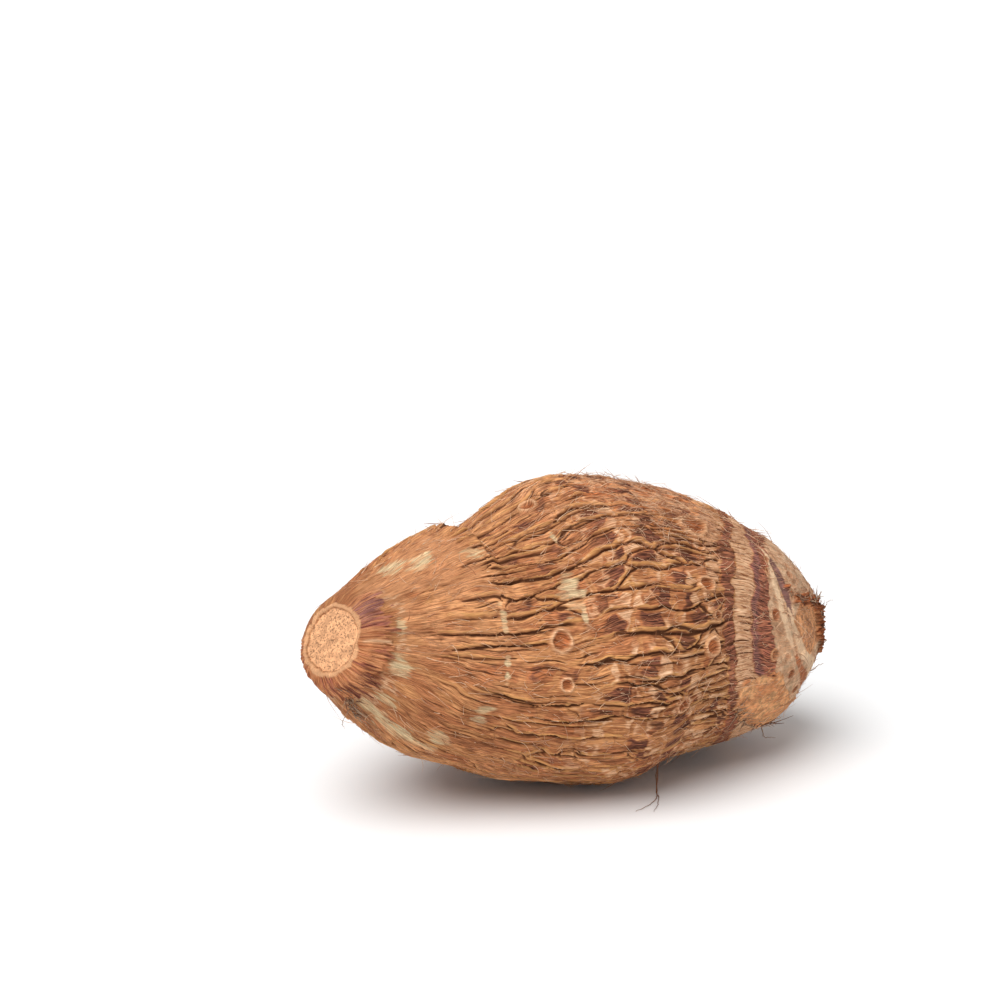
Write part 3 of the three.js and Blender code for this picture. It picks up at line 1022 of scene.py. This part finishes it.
class SkinPaint(Nodes):
    """Nodes of the skin's colour: one area is laid over another where its mask
    is, mostly in shades from dark to light that follow the fibres."""

    def __init__(self, tree, settings):
        super().__init__(tree)
        self.settings = settings
        self.light = settings.fibre_colour
        fibres = self.add("ShaderNodeGroup", node_tree=fibre_group())
        self.feed(fibres, "Grain", self.attribute("grain", "Vector"))
        fine, self.thread, self.broad, self.mottle = (fibres.outputs[name] for name in FIBRE_STREAKS)
        streak = self.math("ADD", self.scaled(fine, 0.5), self.scaled(self.thread, 0.3))
        self.streak = self.math("ADD", streak, self.scaled(self.broad, 0.2))
        self.keen = self.rise(self.streak, 0.12, 0.88)
        place = self.add("ShaderNodeTexCoord").outputs["Object"]
        self.speck = self.noise(place, 1700.0, 2.0)
        self.cloud = self.rise(self.noise(place, 420.0, 4.0, 0.7), 0.36, 0.64)
        self.crest = self.attribute("crest")
        self.colour = self.ground()

    def shades(self, colour, dark, light, amount=None):
        """Shades of a colour from dark to light."""
        return self.mix(amount or self.keen, tinted(colour, dark), tinted(colour, light))

    def broken(self, name, cue, low, high, bottom, top):
        """A mask that a cue lets through from bottom to top."""
        return self.math("MULTIPLY", self.attribute(name), self.rise(cue, low, high, bottom, top))

    def lay(self, amount, above):
        """Lays a colour over what is there."""
        self.colour = self.mix(amount, self.colour, above)

    def lay_mask(self, name, share, above):
        """Lays a colour where a mask is, and lets some of what is below through."""
        self.lay(self.scaled(self.attribute(name), share), above)

    def ground(self):
        """Tan skin with red-brown plates."""
        skin, ochre = self.settings.plate_colour, self.settings.ochre_colour
        red = self.mix(self.streak, tinted(skin, 0.3), faded(skin, 1.5, self.light, 0.4))
        tan = self.mix(self.streak, tinted(skin, 0.62), faded(ochre, 1.3, self.light, 0.5))
        redness = self.math("ADD", self.attribute("plate"), self.scaled(self.mottle, 0.35))
        redness = self.math("SUBTRACT", redness, self.scaled(self.broad, 0.35))
        return self.mix(self.rise(redness, 0.15, 0.75, 0.08, 0.95), tan, red)

    def lay_softer_skin(self):
        """Ochre crests, then painted light as a paler tan, then shaggy and smooth skin."""
        skin, smooth = self.settings.plate_colour, self.settings.smooth_colour
        ridge = self.shades(self.settings.ochre_colour, 0.8, 1.3, self.streak)
        self.lay(self.rise(self.crest, 0.15, 0.6, 0.0, 0.85), ridge)
        # Painted light: a paler tan on the upper left, the top and the low edge.
        faded_part = self.broken("faded", self.mottle, 0.1, 0.9, 0.75, 0.3)
        self.lay(faded_part, self.shades(self.light, 0.5, 1.15))
        hairy = self.mix(self.broad, self.shades(skin, 0.4, 2.3), self.shades(self.light, 0.75, 1.3))
        self.lay_mask("shaggy", 0.85, hairy)
        smooth_part = self.rise(self.attribute("smooth_skin"), 0.15, 0.7, 0.0, 0.95)
        smooth_part = self.math("MULTIPLY", smooth_part, self.rise(self.mottle, 0.2, 1.0, 1.0, 0.55))
        light = faded(smooth, 1.3, self.light, 0.5)
        self.lay(smooth_part, self.mix(self.streak, tinted(smooth, 0.65), light))

    def lay_dark_scales(self):
        """Purple-brown scales and rings, red where they thin out, and the grey
        purple along the wide ring."""
        scale_colour = self.settings.scale_colour
        ripe = self.math("ADD", self.attribute("dark_scale"), self.scaled(self.mottle, -0.4))
        ripe = self.rise(ripe, 0.15, 0.6)
        light = self.mix(self.attribute("dark_ring"), tinted(scale_colour, 1.7), tinted(scale_colour, 3.7))
        scale = self.mix(self.keen, tinted(scale_colour, 0.38), light)
        scale = self.mix(ripe, self.shades(self.settings.plate_colour, 0.35, 1.35), scale)
        dark = self.broken("dark_scale", self.thread, 0.5, 1.0, 1.0, 0.7)
        dark = self.math("MULTIPLY", dark, self.rise(self.crest, 0.25, 0.7, 1.0, 0.2))
        self.lay(dark, scale)
        self.lay_mask("dusk", 0.8, self.shades(self.settings.dusk_colour, 0.5, 1.8))

    def lay_pale_skin(self):
        """Cream skin, worn patches and the stripes of the pale band."""
        cream = self.mix(self.keen, tinted(self.light, 0.68), tinted(self.settings.cream_colour, 1.5))
        self.lay(self.broken("pale_skin", self.broad, 0.0, 0.8, 0.95, 0.65), cream)
        worn = self.shades(self.settings.worn_colour, 0.8, 1.5)
        self.lay(self.broken("worn", self.broad, 0.1, 0.9, 1.0, 0.45), worn)
        stripe = self.rise(self.attribute("stripe"), 0.2, 0.7, 0.0, 0.85)
        self.lay(stripe, self.shades(self.settings.plate_colour, 0.4, 1.2))

    def lay_shoot_end(self):
        """Bare skin, the old sheath, the bare patch and the leaf marks."""
        settings = self.settings
        bare = self.shades(settings.cream_colour, 0.8, 1.4, self.cloud)
        tan_part = self.shades(settings.smooth_colour, 0.65, 1.2)
        self.lay_mask("bare_end", 0.95, self.mix(self.scaled(self.mottle, 0.55), bare, tan_part))
        sheath = self.shades(settings.sheath_colour, 0.7, 1.45, self.cloud)
        red_part = self.shades(settings.plate_colour, 0.8, 2.0)
        self.lay(self.attribute("sheath"), self.mix(self.scaled(self.mottle, 0.55), sheath, red_part))
        self.lay(self.attribute("lens"), self.shades(settings.smooth_colour, 0.7, 1.7, self.cloud))
        self.lay_mask("leaf_line", 0.85, self.shades(settings.plate_colour, 0.75, 1.6))
        self.lay_mask("leaf_edge", 0.9, self.shades(settings.dusk_colour, 0.6, 1.5))
        self.lay_mask("leaf_strip", 0.9, self.shades(settings.cream_colour, 1.2, 1.6, self.cloud))
        self.lay(self.attribute("tip"), self.shades(settings.plate_colour, 0.3, 1.3))

    def lay_scar_end(self):
        """The collar's streaks, then the lip, the speckled face and the moat."""
        settings = self.settings
        skin, scale, face = settings.plate_colour, settings.scale_colour, settings.face_colour
        radial = self.mix(self.keen, tinted(skin, 0.95), faded(skin, 2.0, self.light, 0.85))
        collar = self.mix(self.rise(self.broad, 0.0, 0.45), self.shades(scale, 1.5, 5.5), radial)
        low = self.broken("collar_low", self.broad, 0.3, 0.7, 0.95, 0.0)
        collar = self.mix(low, collar, self.shades(scale, 0.6, 2.0))
        top = self.broken("collar_dusk", self.broad, 0.3, 0.9, 0.7, 0.25)
        collar = self.mix(top, collar, self.shades(settings.dusk_colour, 1.0, 2.6))
        self.lay(self.attribute("collar"), collar)
        self.lay(self.attribute("lip"), self.shades(face, 1.0, 1.4))
        pith = self.shades(face, 0.7, 1.12, self.cloud)
        speckled = self.mix(self.rise(self.speck, 0.38, 0.47), tinted(face, 0.38), pith)
        self.lay(self.attribute("scar_face"), speckled)
        self.lay(self.rise(self.attribute("moat"), 0.2, 0.9, 0.0, 0.65), tinted(skin, 0.9))

    def lay_hollows(self):
        """Bud pits, painted shade round the cracks and wrinkles, and the grooves' dark brown with painted
        shade in them, dark over everything else.
        """
        skin = self.settings.plate_colour
        self.lay_mask("bud_pit", 0.85, self.shades(skin, 0.4, 1.4))
        # Painted shade: a darker brown round the cracks and long wrinkles.
        self.lay(self.rise(self.attribute("hollow"), 0.15, 1.0, 0.0, 0.7), tinted(skin, 0.5))
        # The grooves' dark brown, with painted shade in the cracks and at the notch's foot.
        groove = self.rise(self.attribute("groove"), 0.22, 0.62, 0.0, 0.97)
        self.lay(groove, self.settings.groove_and_shade_colour[:])


def skin_material(settings):
    """The corm's dull skin: its colours, and a bump of fibres and specks."""
    material, tree, surface = new_material("corm_skin")
    paint = SkinPaint(tree, settings)
    paint.lay_softer_skin()
    paint.lay_dark_scales()
    paint.lay_pale_skin()
    paint.lay_shoot_end()
    paint.lay_scar_end()
    paint.lay_hollows()
    paint.feed(surface, "Base Color", paint.colour)
    paint.feed(surface, "Roughness", paint.rise(paint.crest, 0.0, 1.0, 0.8, 0.6))
    paint.feed(surface, "Specular IOR Level", 0.2)

    # The scar's cut face has specks but no fibres.
    bump = paint.add("ShaderNodeBump")
    fibres = paint.math("MULTIPLY", paint.streak, paint.math("SUBTRACT", 1.0, paint.attribute("scar_face")))
    paint.feed(bump, "Height", paint.math("ADD", fibres, paint.scaled(paint.speck, 0.4)))
    paint.feed(bump, "Strength", 0.8)
    paint.feed(bump, "Distance", 0.4 * MM)
    paint.feed(surface, "Normal", bump.outputs["Normal"])
    return material


def fibre_material(settings, name, darkest, lightest):
    """A dry fibre's skin, from dark to light shades of the corm's red-brown."""
    material, tree, surface = new_material(name)
    nodes = Nodes(tree)
    tone = nodes.attribute("tone")
    light = tinted(settings.cream_colour, 0.5 * lightest)
    nodes.feed(surface, "Base Color", nodes.mix(tone, tinted(settings.plate_colour, darkest), light))
    nodes.feed(surface, "Roughness", 0.75)
    return material


# ---------------------------------------------------------------------------
# Fibres and root threads.


def tubes(paths, radii, sides):
    """Points and faces of thin tubes with open ends. The paths have the shape
    (count, points, 3) and the radii (count, points)."""
    forward = np.gradient(paths, axis=1)
    forward /= np.maximum(np.linalg.norm(forward, axis=-1, keepdims=True), 1e-12)
    # A direction that the path doesn't follow, to set the cross-section by.
    guide = np.where(np.abs(forward[:, :, 2:]) < 0.9, [[[0.0, 0.0, 1.0]]], [[[1.0, 0.0, 0.0]]])
    across = np.cross(forward, guide)
    across /= np.maximum(np.linalg.norm(across, axis=-1, keepdims=True), 1e-12)
    up = np.cross(across, forward)
    turn = np.linspace(0, 2 * math.pi, sides, endpoint=False)
    ring = across[:, :, None] * np.cos(turn)[:, None] + up[:, :, None] * np.sin(turn)[:, None]
    vertices = paths[:, :, None] + ring * radii[:, :, None, None]
    count, points = paths.shape[:2]
    places = (np.arange(count), np.arange(points - 1), np.arange(sides))
    tube, point, side = np.meshgrid(*places, indexing="ij")
    base = (tube * points + point) * sides
    near, far = base + side, base + (side + 1) % sides
    faces = np.stack([near, far, far + sides, near + sides], -1).reshape(-1, 4)
    return vertices.reshape(-1, 3), faces


def skin_places(grid, points, share, angle):
    """Points, outward, lengthwise and crosswise directions at places on the skin."""
    rows, columns = grid.shape
    # The lengthwise direction is measured from two rows before to two after.
    row = np.searchsorted(grid.share[:, 0], share).clip(2, rows - 3)
    column = (np.asarray(angle) / (2 * math.pi) * columns).astype(int) % columns
    normal = grid.normals[row, column]
    along = grid.points[row + 2, column] - grid.points[row - 2, column]
    along /= np.linalg.norm(along, axis=-1, keepdims=True)
    return points[row, column], normal, along, np.cross(normal, along)


# Points and sides of the thin tubes, and the radius in metres of the curve that
# a fibre droops in, close to the corm's own.
PATH_POINTS = 7
DROOP_RADIUS = 0.045
FIBRE_SIDES = 3
SHRED_SIDES = 5
THREAD_POINTS = 22
THREAD_SIDES = 6

# In mm: how far off the skin a fibre starts, how far above the floor the middles
# of fibres and threads stay, and how thick a thread is at its root.
FIBRE_START = 0.05
FIBRE_CLEARANCE = 0.15
THREAD_CLEARANCE = 0.3
THREAD_RADIUS = 0.22


def fibre_paths(start, normal, heading, length, lift, curl):
    """Curved paths in metres that leave the skin and droop back to it."""
    steps = np.linspace(0, 1, PATH_POINTS)[None, :, None]
    run = length[:, None, None] * steps
    sideways = np.cross(normal, heading)[:, None]
    drop = (length / (2 * DROOP_RADIUS))[:, None, None] * run * steps
    rise = run * lift[:, None, None] - drop + FIBRE_START * MM
    paths = start[:, None] + heading[:, None] * run + normal[:, None] * rise
    paths = paths + sideways * curl[:, None, None] * run * steps
    paths[..., 2] = np.maximum(paths[..., 2], FIBRE_CLEARANCE * MM)
    return paths


def tapered_tubes(name, rng, paths, thick, sides):
    """One piece of tapered tubes, with a random tone for each of them."""
    count, steps = paths.shape[:2]
    # Each tube ends at a quarter of the radius that it starts with.
    radii = thick[:, None] * (1 - 0.75 * np.linspace(0, 1, steps)[None, :])
    vertices, faces = tubes(paths, radii, sides)
    piece = mesh_object(name, vertices.tolist(), faces.tolist())
    set_values(piece.data, "tone", np.repeat(rng.random(count), steps * sides))
    return piece


def build_fibres(settings, grid, points):
    """Thin dry fibres: most lie along the skin and some stand off it."""
    rng = np.random.default_rng(81)
    count = settings.fibre_count
    share = rng.beta(1.6, 1.2, count) * 0.93 + 0.04
    angle = rng.random(count) * 2 * math.pi

    # A fifth of them grow on the shaggy skin, near the top of the widest part.
    shaggy = rng.random(count) < 0.2
    share = np.where(shaggy, rng.normal(0.6, 0.06, count), share)
    angle = np.where(shaggy, rng.normal(1.75, 0.4, count), angle)
    start, normal, along, across = skin_places(grid, points, share, angle)

    # They swing off the grain, one in ten of them widely, and point either way.
    swing = rng.normal(0, 0.35, count)
    swing[rng.random(count) < 0.1] *= 3
    heading = along * np.cos(swing)[:, None] + across * np.sin(swing)[:, None]
    heading *= np.where(rng.random(count) < 0.5, 1, -1)[:, None]
    length = rng.gamma(2.2, 1.6, count).clip(1.2, 13) * MM
    lift = rng.gamma(1.0, 0.15, count).clip(0.02, 1.2)
    paths = fibre_paths(start, normal, heading, length, lift, rng.normal(0, 0.5, count))
    return tapered_tubes("skin_fibres", rng, paths, rng.uniform(0.07, 0.15, count) * MM, FIBRE_SIDES)


def along_places(rng, places, count, scatter):
    """Shares and angles scattered along a line of places on the skin."""
    shares, degrees = np.array(places, float).T
    t = rng.uniform(0, len(places) - 1, count)
    spots = np.arange(len(places))
    share = np.interp(t, spots, shares) + rng.normal(0, scatter, count)
    angle = np.radians(np.interp(t, spots, degrees)) + rng.normal(0, 5 * scatter, count)
    return share.clip(0.005, 0.98), angle


# Where shreds hang: a line of places, how many, how much they lean along and
# round the corm, and the longest in mm.
SHRED_ROWS = (
    (TORN_RIM[0], 60, 0.2, 0.2, 3.2),
    (SHEATH_EDGE, 50, 0.6, 0.5, 4.0),
    (COLLAR_LOW_EDGE, 45, -0.3, 0.7, 4.0),
)


def build_shreds(grid, points):
    """Torn bits of old leaf base: short, thick and dark, at the ragged edges."""
    rng = np.random.default_rng(83)
    parts = []
    for places, count, ahead, downward, longest in SHRED_ROWS:
        share, angle = along_places(rng, places, count, 0.005)
        start, normal, along, across = skin_places(grid, points, share, angle)
        heading = along * (ahead + rng.normal(0, 0.8, count))[:, None]
        heading = heading + across * (downward + rng.normal(0, 0.8, count))[:, None]
        heading /= np.linalg.norm(heading, axis=-1, keepdims=True)
        length = rng.uniform(1.2, longest, count) * MM
        lift = rng.gamma(1.6, 0.25, count).clip(0.05, 1.3)
        parts.append(fibre_paths(start, normal, heading, length, lift, rng.normal(0, 0.9, count)))
    paths = np.concatenate(parts)
    thick = rng.uniform(0.12, 0.32, len(paths)) * MM
    return tapered_tubes("leaf_base_shreds", rng, paths, thick, SHRED_SIDES)


def build_threads(grid, points):
    """Dry root threads that hang from the skin, one of them to the floor."""
    rng = np.random.default_rng(85)
    paths = []
    for share, degrees, offsets in ROOT_THREADS:
        start = skin_places(grid, points, np.array([share]), np.radians([degrees]))[0][0]
        line = np.vstack([start, start + np.array(offsets) * MM])
        kinks = rng.normal(0, 0.12, (THREAD_POINTS, 3)) * MM
        path = through_points(line, True, THREAD_POINTS) + kinks
        path[..., 2] = np.maximum(path[..., 2], THREAD_CLEARANCE * MM)
        paths.append(path)
    thick = np.full(len(paths), THREAD_RADIUS * MM)
    return tapered_tubes("root_threads", rng, np.array(paths), thick, THREAD_SIDES)


# ---------------------------------------------------------------------------
# Settings, operators and panel.


class TaroCormSettings(bpy.types.PropertyGroup):
    """Sizes and colours of the taro corm."""

    relief: bpy.props.FloatProperty(
        name="Relief",
        description="How strong the skin's wrinkles are",
        default=1.0,
        min=0.0,
        max=2.0,
    )
    fibre_count: bpy.props.IntProperty(
        name="Fibres",
        description="How many dry fibres lie on the skin",
        default=7000,
        min=0,
        max=20000,
    )
    plate_colour: bpy.props.FloatVectorProperty(
        name="Skin",
        description="Red-brown of the skin between wrinkles",
        subtype="COLOR",
        default=(0.42, 0.125, 0.042),
    )
    ochre_colour: bpy.props.FloatVectorProperty(
        name="Crests",
        description="Ochre of the wrinkles' crests",
        subtype="COLOR",
        default=(0.6, 0.29, 0.1),
    )
    smooth_colour: bpy.props.FloatVectorProperty(
        name="Smooth skin",
        description="Orange tan of the smooth skin",
        subtype="COLOR",
        default=(0.64, 0.28, 0.125),
    )
    scale_colour: bpy.props.FloatVectorProperty(
        name="Scale edges",
        description="Purple-brown of the scales' edges",
        subtype="COLOR",
        default=(0.15, 0.048, 0.028),
    )
    dusk_colour: bpy.props.FloatVectorProperty(
        name="Dusk",
        description="Grey-purple of the fresh leaf scars",
        subtype="COLOR",
        default=(0.2, 0.092, 0.085),
    )
    fibre_colour: bpy.props.FloatVectorProperty(
        name="Light fibres",
        description="Tan of the lightest fibres in the skin",
        subtype="COLOR",
        default=(0.84, 0.4, 0.185),
    )
    cream_colour: bpy.props.FloatVectorProperty(
        name="Pale skin",
        description="Cream of the bare skin",
        subtype="COLOR",
        default=(0.66, 0.44, 0.275),
    )
    worn_colour: bpy.props.FloatVectorProperty(
        name="Worn patches",
        description="Greenish cream where the skin is worn off",
        subtype="COLOR",
        default=(0.62, 0.46, 0.265),
    )
    sheath_colour: bpy.props.FloatVectorProperty(
        name="Sheath",
        description="Tan of the old leaf sheath",
        subtype="COLOR",
        default=(0.68, 0.345, 0.155),
    )
    face_colour: bpy.props.FloatVectorProperty(
        name="Scar face",
        description="Tan of the scar's cut face",
        subtype="COLOR",
        default=(0.73, 0.375, 0.19),
    )
    # Dark brown of the cracks, with painted shade in them and at the notch's foot.
    groove_and_shade_colour: bpy.props.FloatVectorProperty(
        name="Grooves",
        description="Dark brown in the grooves",
        subtype="COLOR",
        default=(0.12, 0.042, 0.016),
    )


# The skin that was built last, for the pieces that grow on it.
SHARED = {}


def skin_surface():
    """The grid and the points of the skin that was built last."""
    if "grid" not in SHARED:
        raise RuntimeError("build the corm's skin first")
    return SHARED["grid"], SHARED["points"]


class OBJECT_OT_taro_skin(bpy.types.Operator):
    """Build the corm's wrinkled skin"""

    bl_idname = "object.taro_skin"
    bl_label = "Corm Skin"

    def execute(self, context):
        settings = context.scene.taro_corm
        piece, grid, points = build_skin_mesh(settings)
        piece.data.materials.append(skin_material(settings))
        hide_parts("taro_corm")
        SHARED["grid"], SHARED["points"] = grid, points
        return {"FINISHED"}


class OBJECT_OT_taro_fibres(bpy.types.Operator):
    """Lay dry fibres on the skin"""

    bl_idname = "object.taro_fibres"
    bl_label = "Skin Fibres"

    def execute(self, context):
        settings = context.scene.taro_corm
        piece = build_fibres(settings, *skin_surface())
        piece.data.materials.append(fibre_material(settings, "dry_fibre", 0.8, 2.6))
        return {"FINISHED"}


class OBJECT_OT_taro_shreds(bpy.types.Operator):
    """Hang torn shreds of leaf base from the ragged edges"""

    bl_idname = "object.taro_shreds"
    bl_label = "Leaf Base Shreds"

    def execute(self, context):
        piece = build_shreds(*skin_surface())
        piece.data.materials.append(fibre_material(context.scene.taro_corm, "torn_leaf_base", 0.3, 1.3))
        return {"FINISHED"}


class OBJECT_OT_taro_threads(bpy.types.Operator):
    """Hang dry root threads from the skin"""

    bl_idname = "object.taro_threads"
    bl_label = "Root Threads"

    def execute(self, context):
        piece = build_threads(*skin_surface())
        piece.data.materials.append(fibre_material(context.scene.taro_corm, "root_thread", 0.4, 1.1))
        return {"FINISHED"}


# The stage, in metres: a wide pale floor, a broad soft sun and the camera.
FLOOR_HALF = 6
FLOOR_COLOUR = (0.86, 0.86, 0.86, 1)
WORLD_STRENGTH = 0.46
KEY_STRENGTH = 3.2
KEY_ANGLE = math.radians(50)
KEY_PLACE = (-0.5, -0.3, 1.0)
CAMERA_LENS = 85
CAMERA_SENSOR = 36
CAMERA_PLACE = (-0.3155, -0.6766, 0.2926)
CAMERA_AIM = (-0.0146, 0.0213, 0.0905)


def point_at(thing, aim):
    """Turns a light or a camera to a place."""
    direction = Vector(aim) - Vector(thing.location)
    thing.rotation_euler = direction.to_track_quat("-Z", "Y").to_euler()


def add_floor(scene):
    """A dull, nearly white floor under the corm."""
    mesh = bpy.data.meshes.new("floor")
    corners = ((-1, -1), (1, -1), (1, 1), (-1, 1))
    mesh.from_pydata([(x * FLOOR_HALF, y * FLOOR_HALF, 0) for x, y in corners], [], [(0, 1, 2, 3)])
    floor = bpy.data.objects.new("floor", mesh)
    scene.collection.objects.link(floor)
    material, tree, surface = new_material("floor")
    nodes = Nodes(tree)
    nodes.feed(surface, "Base Color", FLOOR_COLOUR)
    nodes.feed(surface, "Roughness", 0.9)
    nodes.feed(surface, "Specular IOR Level", 0.1)
    mesh.materials.append(material)


def add_light(scene):
    """An even white world and one soft key light from above."""
    world = bpy.data.worlds.new("studio")
    scene.world = world
    world.use_nodes = True
    background = world.node_tree.nodes["Background"]
    background.inputs["Color"].default_value = (1.0, 1.0, 1.0, 1)
    background.inputs["Strength"].default_value = WORLD_STRENGTH
    sun = bpy.data.lights.new("key", "SUN")
    sun.energy = KEY_STRENGTH
    sun.angle = KEY_ANGLE
    key = bpy.data.objects.new("key", sun)
    scene.collection.objects.link(key)
    key.location = KEY_PLACE
    point_at(key, (0, 0, 0))


def add_camera(scene):
    """A long lens, from the front and a little above."""
    data = bpy.data.cameras.new("camera")
    data.lens = CAMERA_LENS
    data.sensor_width = CAMERA_SENSOR
    camera = bpy.data.objects.new("camera", data)
    scene.collection.objects.link(camera)
    camera.location = CAMERA_PLACE
    point_at(camera, CAMERA_AIM)
    scene.camera = camera


class OBJECT_OT_taro_stage(bpy.types.Operator):
    """Set up the floor, the light and the camera"""

    bl_idname = "object.taro_stage"
    bl_label = "Stage"

    def execute(self, context):
        context.scene.view_settings.view_transform = "Standard"
        add_floor(context.scene)
        add_light(context.scene)
        add_camera(context.scene)
        return {"FINISHED"}


class VIEW3D_PT_taro_corm(bpy.types.Panel):
    """Operators and settings of the taro corm"""

    bl_label = "Taro Corm"
    bl_idname = "VIEW3D_PT_taro_corm"
    bl_space_type = "VIEW_3D"
    bl_region_type = "UI"
    bl_category = "Taro Corm"

    def draw(self, context):
        settings = context.scene.taro_corm
        for name in settings.__annotations__:
            self.layout.prop(settings, name)
        for operator in CLASSES[1:-1]:
            self.layout.operator(operator.bl_idname)


CLASSES = (
    TaroCormSettings,
    OBJECT_OT_taro_skin,
    OBJECT_OT_taro_fibres,
    OBJECT_OT_taro_shreds,
    OBJECT_OT_taro_threads,
    OBJECT_OT_taro_stage,
    VIEW3D_PT_taro_corm,
)


def register():
    """Adds the settings, the operators and the panel."""
    for cls in CLASSES:
        bpy.utils.register_class(cls)
    bpy.types.Scene.taro_corm = bpy.props.PointerProperty(type=TaroCormSettings)


def unregister():
    """Takes them away again."""
    del bpy.types.Scene.taro_corm
    for cls in reversed(CLASSES):
        bpy.utils.unregister_class(cls)


def main():
    """Builds every piece and the stage."""
    register()
    bpy.ops.object.taro_skin()
    bpy.ops.object.taro_fibres()
    bpy.ops.object.taro_shreds()
    bpy.ops.object.taro_threads()
    bpy.ops.object.taro_stage()
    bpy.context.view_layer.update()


if __name__ == "__main__":
    main()
